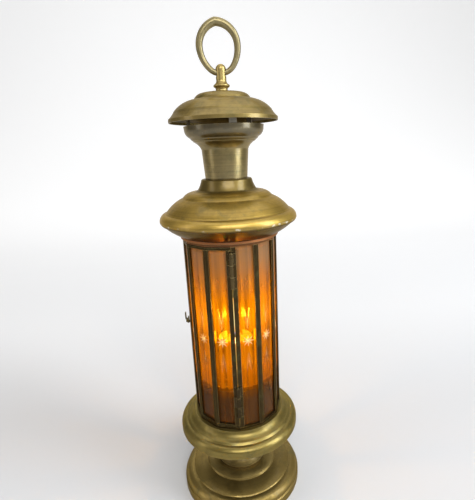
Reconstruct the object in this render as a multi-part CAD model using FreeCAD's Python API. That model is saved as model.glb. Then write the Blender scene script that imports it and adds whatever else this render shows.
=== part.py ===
import FreeCAD, Part
import functools
import math
import os

# Hanging candle lantern of spun brass sheet with a twelve-sided body of bevelled amber panes.
# Millimetres, +Z up, origin on the standing surface under the centre of the foot.
# The front corner of the body points to -Y. The door is the three panes left of that corner.

# Sheet, fits and gaps
SHEET = 1.2              # spun brass wall
STEM_WALL = 1.5          # wall of the stem
SLIP = 0.3               # gap between pieces that move past each other, and of loose seats
RUN_FIT = 0.05           # radial clearance of a pin or rod in its hole
SPIGOT_FIT = 0.1         # radial clearance of a tube in its collar

# Foot, stem and gallery
FOOT_TOP_WIDTH = 10.3    # shallow slope round the stem
FOOT_TOP_DROP = 2.2
FOOT_STEP = 1.8          # small step under that slope
FOOT_DOME_WIDTH = 16.1   # shallow dome, out to the groove at the round rim
FOOT_DOME_DROP = 4.5
FOOT_RIM_WIDTH = 10.1    # round rim
FOOT_RIM_DROP = 9.1
FOOT_LIP = 1.3           # step from the round rim out to the plain edge
FOOT_EDGE = 9.5          # plain edge that the lantern stands on
FOOT_TOP_BOW = 0.9       # rise of the arc over its chord, as for every bow below
FOOT_DOME_BOW = 0.8      # shallow dome
FOOT_RIM_BOW = 3.4       # round rim
BASE_PLATE = 1.2
STEM_FOOT_RADIUS = 28.5
STEM_WAIST_RADIUS = 17.0
STEM_HEAD_RADIUS = 25.0
STEM_LENGTH = 69.8
STEM_LAND = 2.5          # straight edge at both ends of the stem
STEM_HEAD_BOW = 3.4      # hollow above the waist
STEM_FOOT_BOW = 6.0      # hollow under the waist
GALLERY_DEPTH = 21.0     # from the seat of the body down to the lip
GALLERY_LEDGE = 2.3      # seat left showing outside the body corners
GALLERY_COVE_WIDTH = 6.9
GALLERY_COVE_DROP = 7.2
GALLERY_FILLET_WIDTH = 2.6
GALLERY_FILLET_DROP = 2.4
GALLERY_BAND_WIDTH = 6.8
GALLERY_LIP_HEIGHT = 4.0
GALLERY_COVE_BOW = 1.4   # hollow cove
GALLERY_BAND_BOW = 2.2   # round outer band

# Twelve-sided body
SIDES = 12
DOOR_SIDES = 3
BODY_RADIUS = 49.2       # axis to the outer edge of a corner bar
BODY_HEIGHT = 199.0      # length of the corner bars
BOTTOM_RAIL = 2.5
TOP_RAIL = 6.0
BAR_FACE = 2.9           # width of a bar on each of its two facets
BAR_SKIN = 1.2           # outer leaf of a bar
BAR_WEB = 1.2            # web between two panes
BAR_BACK = 1.0           # inner leaf of a bar
SEAM = 0.6               # gap between the door and its jambs
JAMB_FACE = 5.0          # width of a jamb or stile on its facet
JAMB_WEB = 2.6
DOOR_GAP = 0.8           # gap over and under the door
DOOR_RAIL = 2.4

# Panes
PANE = 3.0
PANE_FIT = 0.2           # gap round a pane in its groove
BEVEL_WIDTH = 3.6
BEVEL_DEPTH = 1.3
STAR_RAYS = 8
STAR_RAY = 6.6           # length of one ray
STAR_NOTCH = 2.3         # star centre to the notch between two rays
STAR_DEPTH = 1.3
LEAF_LENGTH = 25.0       # long pointed cut
LEAF_HALF_WIDTH = 1.5
LEAF_SHOULDER = 0.8      # share of the half width that is left halfway to a point
LEAF_DEPTH = 1.2
LEAF_OFFSET = 11.5       # star centre to the point where two long cuts meet
LEAF_SPREAD = 5.5        # degrees each long cut leans from upright

# Hinges
HINGE_OUT = 0.9          # hinge axis beyond the corner
KNUCKLE_RADIUS = 2.2
PIN_RADIUS = 1.1
PIN_HEAD = 1.5
HINGE_LENGTH = 35.0
HINGE_LEAF = 1.0
HINGE_LEAF_REACH = 4.8
UPPER_HINGE_ROOM = 0.9   # head of the upper pin to the door's top rail
LOWER_HINGE_RISE = 11.3  # door's bottom rail to the lower hinge
KNUCKLES = 3

# Latch
LATCH_RISE = 106.5       # bottom of the bars to the middle of the lever
LATCH_PLATE = 1.2
LATCH_DEPTH = 4.0        # height of the lever strip
LATCH_STANDOFF = 1.0     # corner of the bars to the back of the lever
LATCH_TAIL = 3.6         # seam to the lever's end on the door
LATCH_REACH = 6.6        # seam to the lever's curled end over the jamb
LATCH_SCREW_RADIUS = 0.75
LATCH_HEAD_RADIUS = 1.8
LATCH_HEAD = 1.1
CURL_OUT = 3.0
CURL_RISE = 9.0
CURL_WIDTH = 3.6

# Roof
ROOF_OVERHANG = 19.3     # skirt out to the roof's widest place
ROOF_SKIRT = 2.6         # upright edge round the top rail
ROOF_SKIRT_DROP = 0.5    # top of the frame down to the top of that edge
ROOF_EAVE_RISE = 11.2    # underside of the eave, from the skirt out to the rim
ROOF_RIM_TUCK = 3.2      # widest place in to where the eave starts
ROOF_RIM_WIDTH = 6.4     # widest place in to the groove above the round rim
ROOF_RIM_HEIGHT = 11.4   # round rim, eave to that groove
ROOF_DOME_WIDTH = 17.5   # dome, in to the groove at its top bead
ROOF_DOME_HEIGHT = 13.0
ROOF_BEAD_HEIGHT = 5.6
ROOF_FILLET_WIDTH = 8.0  # fillet round the collar
ROOF_COLLAR_FLARE = 3.8  # how much wider the collar is at its foot
ROOF_COLLAR_LEDGE = 4.4  # top of the collar outside the neck
ROOF_COLLAR_HEIGHT = 12.5
ROOF_COLLAR_BOW = 0.4    # collar's hollow side
ROOF_FILLET_BOW = 1.0    # fillet round the collar
ROOF_BEAD_BOW = 0.8      # bead over the dome
ROOF_DOME_BOW = 1.5      # dome
ROOF_RIM_BOW = 1.6       # upper half of the rim
ROOF_RIM_UNDER_BOW = 1.2 # lower half of the rim
ROOF_EAVE_BOW = 0.8      # underside of the eave
GROOVE = 0.9             # depth and width of a turned groove
SEAT_RING_WIDTH = 9.0

# Chimney
CHIMNEY_RADIUS = 21.2    # at the collar
CHIMNEY_TAPER = 2.0      # how much wider the neck is under the cup
CHIMNEY_LENGTH = 28.4
CHIMNEY_SPIGOT = 9.0
CHIMNEY_SHOULDER = 0.8
CUP_RADIUS = 39.2
CUP_HEIGHT = 22.0
CUP_BAND = 4.0           # upright band at the cup's mouth
CUP_BEAD_INSET = 5.8     # cup's mouth in to the upper bead
CUP_BEAD_HEIGHT = 11.6
CUP_BEAD = 1.2
CUP_BEAD_PITCH = 4.2
CUP_BOW = 0.9            # cup's round side
CUP_BEAD_BOW = 0.3       # band between the two beads
CUP_FOOT_BOW = 1.0       # hollow from the cup into the neck

# Cap, its spider and the finial
VENT_GAP = 3.4
CAP_OVERHANG = 13.8      # cup's mouth out to the cap's rim
CAP_RIM = 3.2
CAP_FLARE_WIDTH = 5.8
CAP_FLARE_HEIGHT = 7.0
CAP_TIER_WIDTH = 19.6
CAP_TIER_HEIGHT = 10.2
CAP_STEP = 1.4
CAP_CROWN_WIDTH = 7.0    # round shoulder of the crown
CAP_CROWN_HEIGHT = 4.2
CAP_CROWN_SLOPE = 0.6    # fall of the crown's top from the finial to the shoulder
CAP_SLOPE_BOW = 0.2      # top of the crown
CAP_CROWN_BOW = 1.0      # shoulder of the crown
CAP_TIER_BOW = 2.2       # lower tier
CAP_FLARE_BOW = 0.5      # flared rim
SPIDER_RISE = 17.6       # mouth of the cup to the underside of the spider
SPIDER_WIDTH = 7.0
SPIDER_HUB_RADIUS = 10.0
SPIDER_LEGS = 3
SPIDER_TURN = -77.0      # degrees, first leg
SPIDER_DROP = 3.4        # how far a leg reaches down inside the cup
STUD_RADIUS = 2.5
SPACER_RADIUS = 5.0
FINIAL_NUT = 3.6
FINIAL_NUT_FLATS = 8.0
STUD_TAIL = 2.0          # thread left showing under the nut
FINIAL_BASE_RADIUS = 7.6
FINIAL_WAIST_RADIUS = 5.7
FINIAL_WAIST_RISE = 2.8  # top of the cap to the waist
FINIAL_COLLAR_RADIUS = 6.8
FINIAL_COLLAR = 2.6      # height of the collar's bead
FINIAL_COLLAR_RISE = 6.0 # top of the cap to the middle of the collar
FINIAL_POST_RADIUS = 4.9
FINIAL_POST_RISE = 11.9  # top of the cap to the foot of the post
FINIAL_EYE_RISE = 17.4   # top of the cap to the eye's axis
FINIAL_CROWN = 7.8       # eye's axis to the top of the knob
EYE_ROOM = 0.6           # ring's rod to the eye's wall
FINIAL_BASE_BOW = 0.6    # foot of the finial
FINIAL_DOME = 4.2        # height of the knob's round top
FINIAL_UNDER_BOW = 0.3   # hollow under the collar
FINIAL_COLLAR_BOW = 1.0  # collar's round edge
FINIAL_POST_BOW = 0.8    # hollow from the collar up to the post

# Hanging ring, in its own plane
RING_ROD = 2.4           # rod radius in the eye
RING_PEAK_ROD = 3.9      # rod radius at the pointed top
RING_HALF_WIDTH = 17.7
RING_LOWER = 23.5        # eye up to the widest place
RING_UPPER = 20.5        # widest place up to the point
RING_BOTTOM_RADIUS = 14.5
RING_LEAN = 6.5          # degrees the ring stands off upright, to the left

# Candle stand
TIE_ROD_RADIUS = 4.0
TIE_ROD_END = 4.0        # rod left showing under its nut
WASHER_RADIUS = 11.0
WASHER = 1.5
TIE_NUT_FLATS = 13.0
TIE_NUT = 6.5
COLUMN_RADIUS = 9.0
COLUMN_LENGTH = 42.6
PLATFORM_RIM = 4.4
PLATFORM_GAP = 1.0       # platform to the backs of the bars
DISH_WIDTH = 7.5         # socket out to the dish's edge
DISH_FLOOR = 2.5
DISH_RIM = 4.0
SOCKET_HEIGHT = 8.0
CANDLE_RADIUS = 19.0
CANDLE_HEIGHT = 40.0
CANDLE_POOL = 2.0        # depth of the melted hollow
CANDLE_LIP = 2.6
CANDLE_LIP_BOW = 0.5     # melted edge
CANDLE_POOL_BOW = 0.8    # melted hollow
WICK_RADIUS = 0.8
WICK_HEIGHT = 8.0

# Heights worked out from the sizes above
FOOT_HEIGHT = FOOT_EDGE + FOOT_RIM_DROP + GROOVE + FOOT_DOME_DROP + FOOT_STEP + FOOT_TOP_DROP
GALLERY_SEAT = FOOT_HEIGHT + STEM_LENGTH + SHEET
BARS_BOTTOM = GALLERY_SEAT + BOTTOM_RAIL
BARS_TOP = BARS_BOTTOM + BODY_HEIGHT
DOOR_BOTTOM = BARS_BOTTOM + DOOR_GAP
DOOR_TOP = BARS_TOP - DOOR_GAP
RAIL_TOP = BARS_TOP + TOP_RAIL
SKIRT_TOP = RAIL_TOP - ROOF_SKIRT_DROP
SKIRT_BOTTOM = SKIRT_TOP - ROOF_SKIRT
EAVE = SKIRT_TOP + ROOF_EAVE_RISE
ROOF_TIER = EAVE + ROOF_RIM_HEIGHT
ROOF_DOME = ROOF_TIER + GROOVE + ROOF_DOME_HEIGHT
ROOF_BEAD = ROOF_DOME + ROOF_BEAD_HEIGHT
ROOF_TOP = ROOF_BEAD + ROOF_COLLAR_HEIGHT
CUP_FOOT = ROOF_TOP + CHIMNEY_LENGTH
CUP_MOUTH = CUP_FOOT + CUP_HEIGHT
CAP_BOTTOM = CUP_MOUTH + VENT_GAP
CAP_FLARE = CAP_BOTTOM + CAP_RIM + CAP_FLARE_HEIGHT
CAP_TIER = CAP_FLARE + CAP_TIER_HEIGHT
CAP_TOP = CAP_TIER + CAP_STEP + CAP_CROWN_HEIGHT + CAP_CROWN_SLOPE
SPIDER_BOTTOM = CUP_MOUTH + SPIDER_RISE
EYE = CAP_TOP + FINIAL_EYE_RISE
PLATFORM_BOTTOM = GALLERY_SEAT + COLUMN_LENGTH
DISH_BOTTOM = PLATFORM_BOTTOM + SHEET
CANDLE_BOTTOM = DISH_BOTTOM + DISH_FLOOR
CANDLE_TOP = CANDLE_BOTTOM + CANDLE_HEIGHT
UPPER_HINGE = DOOR_TOP - DOOR_RAIL - UPPER_HINGE_ROOM - PIN_HEAD - HINGE_LENGTH
LOWER_HINGE = DOOR_BOTTOM + DOOR_RAIL + LOWER_HINGE_RISE
LATCH_LEVEL = BARS_BOTTOM + LATCH_RISE
KEEPER_LEVEL = LATCH_LEVEL - LATCH_DEPTH / 2 - LATCH_SCREW_RADIUS - SLIP

# Sections worked out from the sizes above
FOOT_RIM_RADIUS = STEM_FOOT_RADIUS + SHEET + FOOT_TOP_WIDTH + GROOVE + FOOT_DOME_WIDTH
FOOT_RADIUS = FOOT_RIM_RADIUS + GROOVE + FOOT_RIM_WIDTH + FOOT_LIP
HALF_SIDE = math.radians(180.0 / SIDES)
SIDE_LENGTH = 2 * BODY_RADIUS * math.sin(HALF_SIDE)
GROOVE_WIDTH = PANE + 2 * PANE_FIT
BAR_DEPTH = BAR_SKIN + GROOVE_WIDTH + BAR_BACK
LATCH_CORNER = -DOOR_SIDES
JAMB_MIDDLE = (SEAM + JAMB_WEB) / 2
LATCH_HEAD_START = LATCH_STANDOFF + LATCH_PLATE + SLIP

os.makedirs("parts", exist_ok=True)


def save(name, *shapes):
    """Write one node: one solid, or a group of like solids."""
    shape = shapes[0] if len(shapes) == 1 else Part.makeCompound(list(shapes))
    shape.exportStep("parts/" + name + ".step")


def at(radius, z):
    """Point of a turned outline: distance from the axis, height."""
    return FreeCAD.Vector(radius, 0, z)


class Span:
    """One stretch of a turned outline: straight, or an arc that bows to the left of the way it runs."""

    def __init__(self, start, end, bow):
        self.start = start
        self.end = end
        self.bow = bow
        chord = end - start
        self.along = chord.normalize()
        self.left = FreeCAD.Vector(-self.along.z, 0, self.along.x)
        self.middle = (start + end) * 0.5 + self.left * bow
        half = start.distanceToPoint(end) / 2
        self.swing = 2 * math.atan2(bow, half)

    def right_normal(self, share):
        """Unit vector to the right at the start (-1), middle (0) or end (1)."""
        turn = self.swing * share
        return self.left * -math.cos(turn) + self.along * (-math.sin(turn))

    def edge(self):
        if self.bow == 0:
            return Part.LineSegment(self.start, self.end).toShape()
        return Part.Arc(self.start, self.middle, self.end).toShape()


def spans(outline):
    """Stretches through points (radius, z), or (radius, z, bow) where the way there is an arc."""
    result = []
    for here, there in zip(outline, outline[1:]):
        bow = there[2] if len(there) == 3 else 0
        result.append(Span(at(*here[:2]), at(*there[:2]), bow))
    return result


def inset(outer, wall):
    """The same stretches moved to their right by the wall, mitred where they meet."""
    corners = [outer[0].start + outer[0].right_normal(-1) * wall]
    for before, after in zip(outer, outer[1:]):
        one = before.right_normal(1)
        two = after.right_normal(-1)
        mitre = (one + two).normalize()
        corners.append(before.end + mitre * (wall / mitre.dot(one)))
    corners.append(outer[-1].end + outer[-1].right_normal(1) * wall)
    edges = []
    for span, start, end in zip(outer, corners, corners[1:]):
        if span.bow == 0:
            edges.append(Part.LineSegment(start, end).toShape())
        else:
            middle = span.middle + span.right_normal(0) * wall
            edges.append(Part.Arc(start, middle, end).toShape())
    return corners, edges


def turned(edges):
    """Solid of revolution of a closed outline in the XZ plane."""
    face = Part.Face(Part.Wire(Part.__sortEdges__(edges)))
    return face.revolve(FreeCAD.Vector(), FreeCAD.Vector(0, 0, 1), 360)


def spun(outline, wall):
    """Sheet metal shell: an outline given on its outside, with the metal to the right of it."""
    outer = spans(outline)
    corners, inner = inset(outer, wall)
    ends = [
        Part.LineSegment(outer[0].start, corners[0]).toShape(),
        Part.LineSegment(outer[-1].end, corners[-1]).toShape(),
    ]
    return turned([span.edge() for span in outer] + inner + ends)


def solid_of_turn(outline):
    """Turned solid of a closed outline."""
    return turned([span.edge() for span in spans(outline + [outline[0][:2]])])


def dome_bow(radius, height):
    """Bow of the arc from the edge of a round top to its middle on the axis."""
    ball = (radius**2 + height**2) / (2 * height)
    return ball - math.hypot(radius / 2, ball - height / 2)


def ring(outer, inner, bottom, height):
    """Plain tube or washer on the axis."""
    bore = Part.makeCylinder(inner, height, at(0, bottom))
    return Part.makeCylinder(outer, height, at(0, bottom)).cut(bore)


def hex_nut(flats, bore, bottom, height):
    """Six-sided nut on the axis."""
    corner = flats / 2 / math.cos(math.pi / 6)
    points = [turned_point(corner, 60 * turn, bottom) for turn in range(7)]
    nut = Part.Face(Part.makePolygon(points)).extrude(FreeCAD.Vector(0, 0, height))
    return nut.cut(Part.makeCylinder(bore, height, at(0, bottom)))


def turned_point(radius, degrees, z):
    angle = math.radians(degrees)
    return FreeCAD.Vector(radius * math.cos(angle), radius * math.sin(angle), z)


def corner_angle(corner):
    """Direction of a body corner in degrees. Corner 0 is the front one, and corners count to the right."""
    return -90 + 360.0 / SIDES * corner


def corner_point(corner, out, sideways, z):
    """Point near a corner: beyond the bars' edge, and to the right seen from outside."""
    angle = math.radians(corner_angle(corner))
    radius = BODY_RADIUS + out
    x = radius * math.cos(angle) - sideways * math.sin(angle)
    y = radius * math.sin(angle) + sideways * math.cos(angle)
    return FreeCAD.Vector(x, y, z)


def facet_point(corner, hand, along, depth, z):
    """Point on the facet right (hand 1) or left (hand -1) of a corner: along it, and in from its face."""
    out = -along * math.sin(HALF_SIDE) - depth * math.cos(HALF_SIDE)
    sideways = along * math.cos(HALF_SIDE) - depth * math.sin(HALF_SIDE)
    return corner_point(corner, out, hand * sideways, z)


def along_at(sideways, depth):
    """Distance along a facet of a point at a given depth and distance from the corner's middle plane."""
    return (sideways + depth * math.sin(HALF_SIDE)) / math.cos(HALF_SIDE)


def prism(points, height):
    """Upright prism over a closed outline."""
    return Part.Face(Part.makePolygon(points + points[:1])).extrude(FreeCAD.Vector(0, 0, height))


def bar_side(corner, hand, inner_plane, web_plane, face, z):
    """Half the section of a bar: outer leaf, web and inner leaf, from the corner's plane outwards."""
    groove_end = BAR_SKIN + GROOVE_WIDTH
    outline = [
        (along_at(inner_plane, 0), 0),
        (face, 0),
        (face, BAR_SKIN),
        (along_at(web_plane, BAR_SKIN), BAR_SKIN),
        (along_at(web_plane, groove_end), groove_end),
        (face, groove_end),
        (face, BAR_DEPTH),
        (along_at(inner_plane, BAR_DEPTH), BAR_DEPTH),
    ]
    return [facet_point(corner, hand, along, depth, z) for along, depth in outline]


def corner_bar(corner, bottom, top):
    """Bar that holds the edges of two neighbouring panes."""
    right = bar_side(corner, 1, 0, BAR_WEB / 2, BAR_FACE, bottom)
    left = bar_side(corner, -1, 0, BAR_WEB / 2, BAR_FACE, bottom)
    return prism(right + left[-2:0:-1], top - bottom)


def jamb(corner, hand, bottom, top):
    """Bar along one side of the door's seam."""
    section = bar_side(corner, hand, SEAM / 2, SEAM / 2 + JAMB_WEB, JAMB_FACE, bottom)
    return prism(section, top - bottom)


def polygon(radius, z):
    return [turned_point(radius, corner_angle(corner), z) for corner in range(SIDES)]


def body_rail(bottom, height):
    """Twelve-sided hoop that the bars stand on or end under."""
    outer = prism(polygon(BODY_RADIUS, bottom), height)
    inner = prism(polygon(BODY_RADIUS - BAR_DEPTH / math.cos(HALF_SIDE), bottom), height)
    return outer.cut(inner)


def door_rail(bottom):
    """Rail across the door's three facets, from seam to seam."""
    seam = SEAM / 2
    corners = range(-1, LATCH_CORNER, -1)
    outer = [facet_point(0, -1, along_at(seam, 0), 0, bottom)]
    outer += [facet_point(corner, 1, 0, 0, bottom) for corner in corners]
    outer += [facet_point(LATCH_CORNER, 1, along_at(seam, 0), 0, bottom)]
    inner = [facet_point(0, -1, along_at(seam, BAR_DEPTH), BAR_DEPTH, bottom)]
    inner += [facet_point(corner, 1, along_at(0, BAR_DEPTH), BAR_DEPTH, bottom) for corner in corners]
    inner += [facet_point(LATCH_CORNER, 1, along_at(seam, BAR_DEPTH), BAR_DEPTH, bottom)]
    return prism(outer + inner[::-1], DOOR_RAIL)


def sunk_cut(outline, x, z, depth):
    """Double pyramid over an outline on the pane's front at y = 0, deepest at (x, z)."""
    tips = [FreeCAD.Vector(x, depth, z), FreeCAD.Vector(x, -depth, z)]
    points = [FreeCAD.Vector(px, 0, pz) for px, pz in outline]
    faces = []
    for here, there in zip(points, points[1:] + points[:1]):
        for tip in tips:
            faces.append(Part.Face(Part.makePolygon([here, there, tip, here])))
    return Part.Solid(Part.makeShell(faces))


def star_cut(z):
    """Star with its centre on the pane's middle line."""
    outline = []
    for turn in range(2 * STAR_RAYS):
        reach = STAR_NOTCH if turn % 2 else STAR_RAY
        angle = math.pi / STAR_RAYS * turn
        outline.append((reach * math.sin(angle), z + reach * math.cos(angle)))
    return sunk_cut(outline, 0, z, STAR_DEPTH)


def leaf_cut(z, up, side):
    """Long cut above (1) or below (-1) the star, leaning right (1) or left (-1) as it leaves the star."""
    half = LEAF_LENGTH / 2
    shoulder = LEAF_HALF_WIDTH * LEAF_SHOULDER
    right_edge = [(0, half), (shoulder, half / 2), (LEAF_HALF_WIDTH, 0), (shoulder, -half / 2)]
    left_edge = [(-across, -along) for across, along in right_edge]
    lean = math.radians(LEAF_SPREAD) * up * side
    x = half * math.sin(lean) * up
    middle = z + up * (LEAF_OFFSET + half * math.cos(lean))
    outline = [
        (
            x + across * math.cos(lean) + along * math.sin(lean),
            middle + along * math.cos(lean) - across * math.sin(lean),
        )
        for across, along in right_edge + left_edge
    ]
    return sunk_cut(outline, x, middle, LEAF_DEPTH)


def rectangle(left, right, bottom, top, y):
    points = [(left, bottom), (right, bottom), (right, top), (left, top), (left, bottom)]
    return Part.makePolygon([FreeCAD.Vector(x, y, z) for x, z in points])


def pane_edge(web_plane):
    """Distance along a facet from its corner to the pane's edge beside a web."""
    return along_at(web_plane, BAR_SKIN + GROOVE_WIDTH) + PANE_FIT


@functools.cache
def cut_glass(half, bottom, top):
    """Bevelled, star-cut pane of a given half width, with its front at y = 0."""
    front = rectangle(BEVEL_WIDTH - half, half - BEVEL_WIDTH, bottom + BEVEL_WIDTH, top - BEVEL_WIDTH, 0)
    brow = rectangle(-half, half, bottom, top, BEVEL_DEPTH)
    back = rectangle(-half, half, bottom, top, PANE)
    glass = Part.makeLoft([front, brow, back], True, True)
    middle = (BARS_BOTTOM + BARS_TOP) / 2
    cuts = [leaf_cut(middle, up, side) for up in (1, -1) for side in (1, -1)]
    for tool in [star_cut(middle)] + cuts:
        glass = glass.cut(tool)
    return glass


def pane(corner, bottom, top):
    """Pane on the facet right of a corner, narrower beside the door's seam."""
    wide_edge = pane_edge(SEAM / 2 + JAMB_WEB)
    edge = pane_edge(BAR_WEB / 2)
    start = wide_edge if corner in (0, LATCH_CORNER) else edge
    end = wide_edge if corner + 1 in (0, SIDES + LATCH_CORNER) else edge
    glass = cut_glass((SIDE_LENGTH - start - end) / 2, bottom, top).copy()
    face_distance = BODY_RADIUS * math.cos(HALF_SIDE) - BAR_SKIN - PANE_FIT
    glass.translate(FreeCAD.Vector((start - end) / 2, -face_distance, 0))
    glass.rotate(FreeCAD.Vector(), FreeCAD.Vector(0, 0, 1), 360.0 / SIDES * (corner + 0.5))
    return glass


def hinge_point(z):
    return corner_point(0, HINGE_OUT, 0, z)


def upright(radius, point, height):
    return Part.makeCylinder(radius, height, point)


def hinge_clearance():
    """Room round both hinge barrels, cut from the jamb and the stile beside them."""
    return [
        upright(KNUCKLE_RADIUS + SLIP, hinge_point(bottom - SLIP), HINGE_LENGTH + PIN_HEAD + 2 * SLIP)
        for bottom in (LOWER_HINGE, UPPER_HINGE)
    ]


def knuckle(hand, bottom, height):
    """Barrel with a leaf on the facet to the right (1) or left (-1) of the seam."""
    leaf = prism(
        [
            facet_point(0, hand, along_at(SEAM / 2, 0), 0, bottom),
            facet_point(0, hand, HINGE_LEAF_REACH, 0, bottom),
            facet_point(0, hand, HINGE_LEAF_REACH, -HINGE_LEAF, bottom),
            facet_point(0, hand, along_at(SEAM / 2, -HINGE_LEAF), -HINGE_LEAF, bottom),
        ],
        height,
    )
    barrel = upright(KNUCKLE_RADIUS, hinge_point(bottom), height)
    return barrel.fuse(leaf).cut(upright(PIN_RADIUS + RUN_FIT, hinge_point(bottom), height))


def hinge_knuckles(hand, turns):
    """Knuckles of both hinges that belong to one side of the seam."""
    length = (HINGE_LENGTH - (KNUCKLES - 1) * SLIP) / KNUCKLES
    result = []
    for bottom in (LOWER_HINGE, UPPER_HINGE):
        for turn in turns:
            result.append(knuckle(hand, bottom + turn * (length + SLIP), length))
    return result


def hinge_pin(bottom):
    """Pin through one hinge, with a round head that sits on the top knuckle."""
    shank = upright(PIN_RADIUS, hinge_point(bottom), HINGE_LENGTH)
    head = Part.makeSphere(PIN_HEAD, hinge_point(bottom + HINGE_LENGTH), FreeCAD.Vector(0, 0, 1), 0, 90, 360)
    return shank.fuse(head)


def radial_pin(sideways, z, start, end, radius):
    """Pin along the latch corner's radius, from one distance beyond the bars' edge to another."""
    low = corner_point(LATCH_CORNER, start, sideways, z)
    high = corner_point(LATCH_CORNER, end, sideways, z)
    return Part.makeCylinder(radius, end - start, low, high - low)


def latch_hole(sideways, z):
    """Hole through a jamb or stile, for the screw or the keeper."""
    return radial_pin(sideways, z, -2 * BAR_DEPTH, LATCH_STANDOFF, LATCH_SCREW_RADIUS + RUN_FIT)


def latch_screw():
    """Round-headed screw in the door's stile that the lever turns on."""
    head_end = LATCH_HEAD_START + LATCH_HEAD
    shank = radial_pin(JAMB_MIDDLE, LATCH_LEVEL, -BAR_DEPTH, LATCH_HEAD_START, LATCH_SCREW_RADIUS)
    return shank.fuse(radial_pin(JAMB_MIDDLE, LATCH_LEVEL, LATCH_HEAD_START, head_end, LATCH_HEAD_RADIUS))


def keeper_stud():
    """Plain stud in the jamb that the lever comes to rest on."""
    return radial_pin(-JAMB_MIDDLE, KEEPER_LEVEL, -BAR_DEPTH, LATCH_HEAD_START, LATCH_SCREW_RADIUS)


def latch_lever():
    """Strip across the seam that pivots on the door, with its far end curled out and up."""
    low = LATCH_LEVEL - LATCH_DEPTH / 2
    back = LATCH_STANDOFF
    front = back + LATCH_PLATE
    outside = front + CURL_OUT
    strip_points = [(back, LATCH_TAIL), (back, -LATCH_REACH), (front, -LATCH_REACH), (front, LATCH_TAIL)]
    strip = prism([corner_point(LATCH_CORNER, out, side, low) for out, side in strip_points], LATCH_DEPTH)

    def curl_point(out, rise):
        return corner_point(LATCH_CORNER, out, -LATCH_REACH, low + rise)

    def bend(radius):
        diagonal = radius * math.sqrt(0.5)
        ends = [curl_point(front, CURL_OUT - radius), curl_point(front + radius, CURL_OUT)]
        return Part.Arc(ends[0], curl_point(front + diagonal, CURL_OUT - diagonal), ends[1]).toShape()

    inside = outside - LATCH_PLATE
    inner_corner = curl_point(back, LATCH_PLATE)
    outer_corner = curl_point(back, 0)
    edges = [
        bend(CURL_OUT),
        Part.LineSegment(curl_point(outside, CURL_OUT), curl_point(outside, CURL_RISE)).toShape(),
        Part.LineSegment(curl_point(outside, CURL_RISE), curl_point(inside, CURL_RISE)).toShape(),
        Part.LineSegment(curl_point(inside, CURL_RISE), curl_point(inside, CURL_OUT)).toShape(),
        bend(CURL_OUT - LATCH_PLATE),
        Part.LineSegment(curl_point(front, LATCH_PLATE), inner_corner).toShape(),
        Part.LineSegment(inner_corner, outer_corner).toShape(),
        Part.LineSegment(outer_corner, curl_point(front, 0)).toShape(),
    ]
    across = corner_point(LATCH_CORNER, 0, CURL_WIDTH, 0) - corner_point(LATCH_CORNER, 0, 0, 0)
    curl = Part.Face(Part.Wire(Part.__sortEdges__(edges))).extrude(across)
    hole = radial_pin(JAMB_MIDDLE, LATCH_LEVEL, 0, outside, LATCH_SCREW_RADIUS + RUN_FIT)
    return strip.fuse(curl).cut(hole).removeSplitter()


def foot():
    """Stepped foot, from the rod hole in its top out to the standing edge."""
    step = STEM_FOOT_RADIUS + SHEET + FOOT_TOP_WIDTH
    return spun(
        [
            (TIE_ROD_RADIUS + RUN_FIT, FOOT_HEIGHT),
            (STEM_FOOT_RADIUS + SHEET, FOOT_HEIGHT),
            (step, FOOT_HEIGHT - FOOT_TOP_DROP, FOOT_TOP_BOW),
            (step + GROOVE, FOOT_HEIGHT - FOOT_TOP_DROP - FOOT_STEP),
            (FOOT_RIM_RADIUS, FOOT_EDGE + FOOT_RIM_DROP + GROOVE, FOOT_DOME_BOW),
            (FOOT_RIM_RADIUS + GROOVE, FOOT_EDGE + FOOT_RIM_DROP),
            (FOOT_RADIUS - FOOT_LIP, FOOT_EDGE, FOOT_RIM_BOW),
            (FOOT_RADIUS, FOOT_EDGE - GROOVE),
            (FOOT_RADIUS, 0),
        ],
        SHEET,
    )


def stem():
    """Waisted tube between the foot and the gallery."""
    top = FOOT_HEIGHT + STEM_LENGTH
    waist = FOOT_HEIGHT + STEM_LENGTH / 2
    return spun(
        [
            (STEM_HEAD_RADIUS, top),
            (STEM_HEAD_RADIUS, top - STEM_LAND),
            (STEM_WAIST_RADIUS, waist, -STEM_HEAD_BOW),
            (STEM_FOOT_RADIUS, FOOT_HEIGHT + STEM_LAND, -STEM_FOOT_BOW),
            (STEM_FOOT_RADIUS, FOOT_HEIGHT),
        ],
        STEM_WALL,
    )


def gallery():
    """Moulded tray under the body: flat seat, cove, fine step and round outer band."""
    lip = GALLERY_SEAT - GALLERY_DEPTH
    ledge = BODY_RADIUS + GALLERY_LEDGE
    rim = ledge + GALLERY_COVE_WIDTH + GALLERY_FILLET_WIDTH + GALLERY_BAND_WIDTH
    cove = GALLERY_SEAT - GALLERY_COVE_DROP
    return spun(
        [
            (TIE_ROD_RADIUS + RUN_FIT, GALLERY_SEAT),
            (ledge, GALLERY_SEAT),
            (ledge + GALLERY_COVE_WIDTH, cove, -GALLERY_COVE_BOW),
            (ledge + GALLERY_COVE_WIDTH + GROOVE, cove - GROOVE / 2),
            (rim - GALLERY_BAND_WIDTH, cove - GALLERY_FILLET_DROP),
            (rim, lip + GALLERY_LIP_HEIGHT, GALLERY_BAND_BOW),
            (rim, lip),
        ],
        SHEET,
    )


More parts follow.
